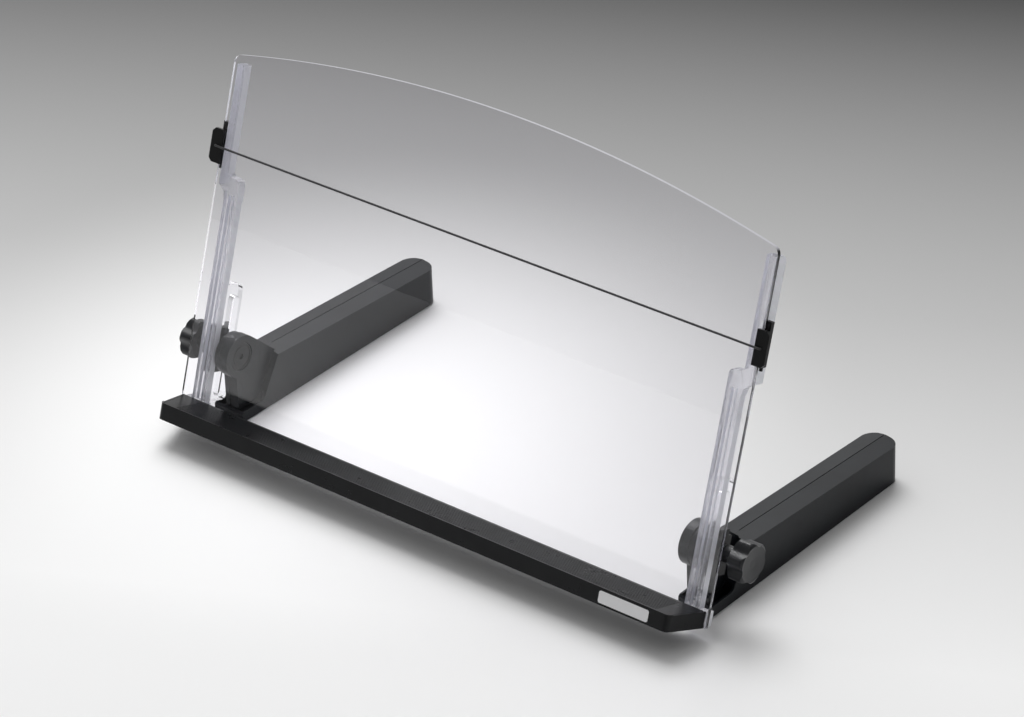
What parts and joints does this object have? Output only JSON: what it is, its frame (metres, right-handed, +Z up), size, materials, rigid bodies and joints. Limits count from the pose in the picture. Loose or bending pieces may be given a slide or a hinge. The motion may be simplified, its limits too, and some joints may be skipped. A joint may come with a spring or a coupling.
{
  "type": "copy_holder",
  "caption": "Free-standing copy holder: leaning clear panel with a grooved paper ledge and sliding line guide, on two low arms with clamp knobs",
  "frame": {"origin": "centre of the bounding box in plan, at the undersides of the feet", "axes": "+Z up; +X to the reader's right, along the ledge; +Y away from the reader, towards the rear of the arms"},
  "size_m": [0.4868, 0.2634, 0.2739],
  "materials": {
    "clear": "clear polished acrylic, 3 mm, faint lavender tint, bright cut edges",
    "label": "blank white film label, satin",
    "ledge_plastic": "black moulded plastic, satin, fine lengthwise grooves on top",
    "cord": "black elastic cord, matte",
    "rubber": "black rubber pad, matte",
    "brass": "turned brass",
    "steel": "zinc-plated steel",
    "washer_plastic": "dark grey washer, satin",
    "guide_plastic": "black moulded clip, satin",
    "knob_plastic": "black moulded knob, fine satin texture",
    "arm_plastic": "black moulded plastic, fine spark texture, satin sheen",
    "clamp_plastic": "black moulded plastic, satin"
  },
  "bodies": {
    "base": {"left_arm_outer_shell": "arm_plastic", "right_arm_outer_shell": "arm_plastic", "left_arm_outer_head": "arm_plastic", "right_arm_outer_head": "arm_plastic", "left_arm_inner_shell": "arm_plastic", "right_arm_inner_shell": "arm_plastic", "left_arm_pins": "steel", "right_arm_pins": "steel", "left_arm_feet": "rubber", "right_arm_feet": "rubber", "left_pivot_bolt": "clamp_plastic", "right_pivot_bolt": "clamp_plastic", "left_friction_washer": "washer_plastic", "right_friction_washer": "washer_plastic"},
    "carriage": {"left_slot_key": "clamp_plastic", "right_slot_key": "clamp_plastic", "left_clamp_plate": "clamp_plastic", "right_clamp_plate": "clamp_plastic", "left_spring_washer": "steel", "right_spring_washer": "steel"},
    "platform": {"clear_panel": "clear", "left_rail": "clear", "right_rail": "clear", "left_slot_plate": "clear", "right_slot_plate": "clear", "ledge_body": "ledge_plastic", "ledge_top_plate": "ledge_plastic", "ledge_label": "label", "ledge_screws": "steel"},
    "line_guide": {"left_guide_clip": "guide_plastic", "right_guide_clip": "guide_plastic", "left_guide_jaw": "guide_plastic", "right_guide_jaw": "guide_plastic", "left_cord_ferrule": "guide_plastic", "right_cord_ferrule": "guide_plastic", "guide_cord": "cord"},
    "left_knob": {"left_knob": "knob_plastic", "left_knob_insert": "brass"},
    "right_knob": {"right_knob": "knob_plastic", "right_knob_insert": "brass"}
  },
  "joints": [
    {"name": "tilt", "type": "hinge", "parent": "base", "child": "carriage", "pos_m": [0, -0.06918, 0.0475], "axis": [-1, 0, 0], "range_deg": [-2, 55]},
    {"name": "height", "type": "slide", "parent": "carriage", "child": "platform", "axis": [0, 0.317, 0.9484], "range_m": [-0.002, 0.021]},
    {"name": "guide", "type": "slide", "parent": "platform", "child": "line_guide", "axis": [0, 0.317, 0.9484], "range_m": [-0.1, 0.04]},
    {"name": "left_knob_turn", "type": "hinge", "parent": "base", "child": "left_knob", "pos_m": [-0.2212, -0.06918, 0.0475], "axis": [-1, 0, 0], "range_deg": [0, 720]},
    {"name": "right_knob_turn", "type": "hinge", "parent": "base", "child": "right_knob", "pos_m": [0.2212, -0.06918, 0.0475], "axis": [1, 0, 0], "range_deg": [-720, 0]}
  ]
}
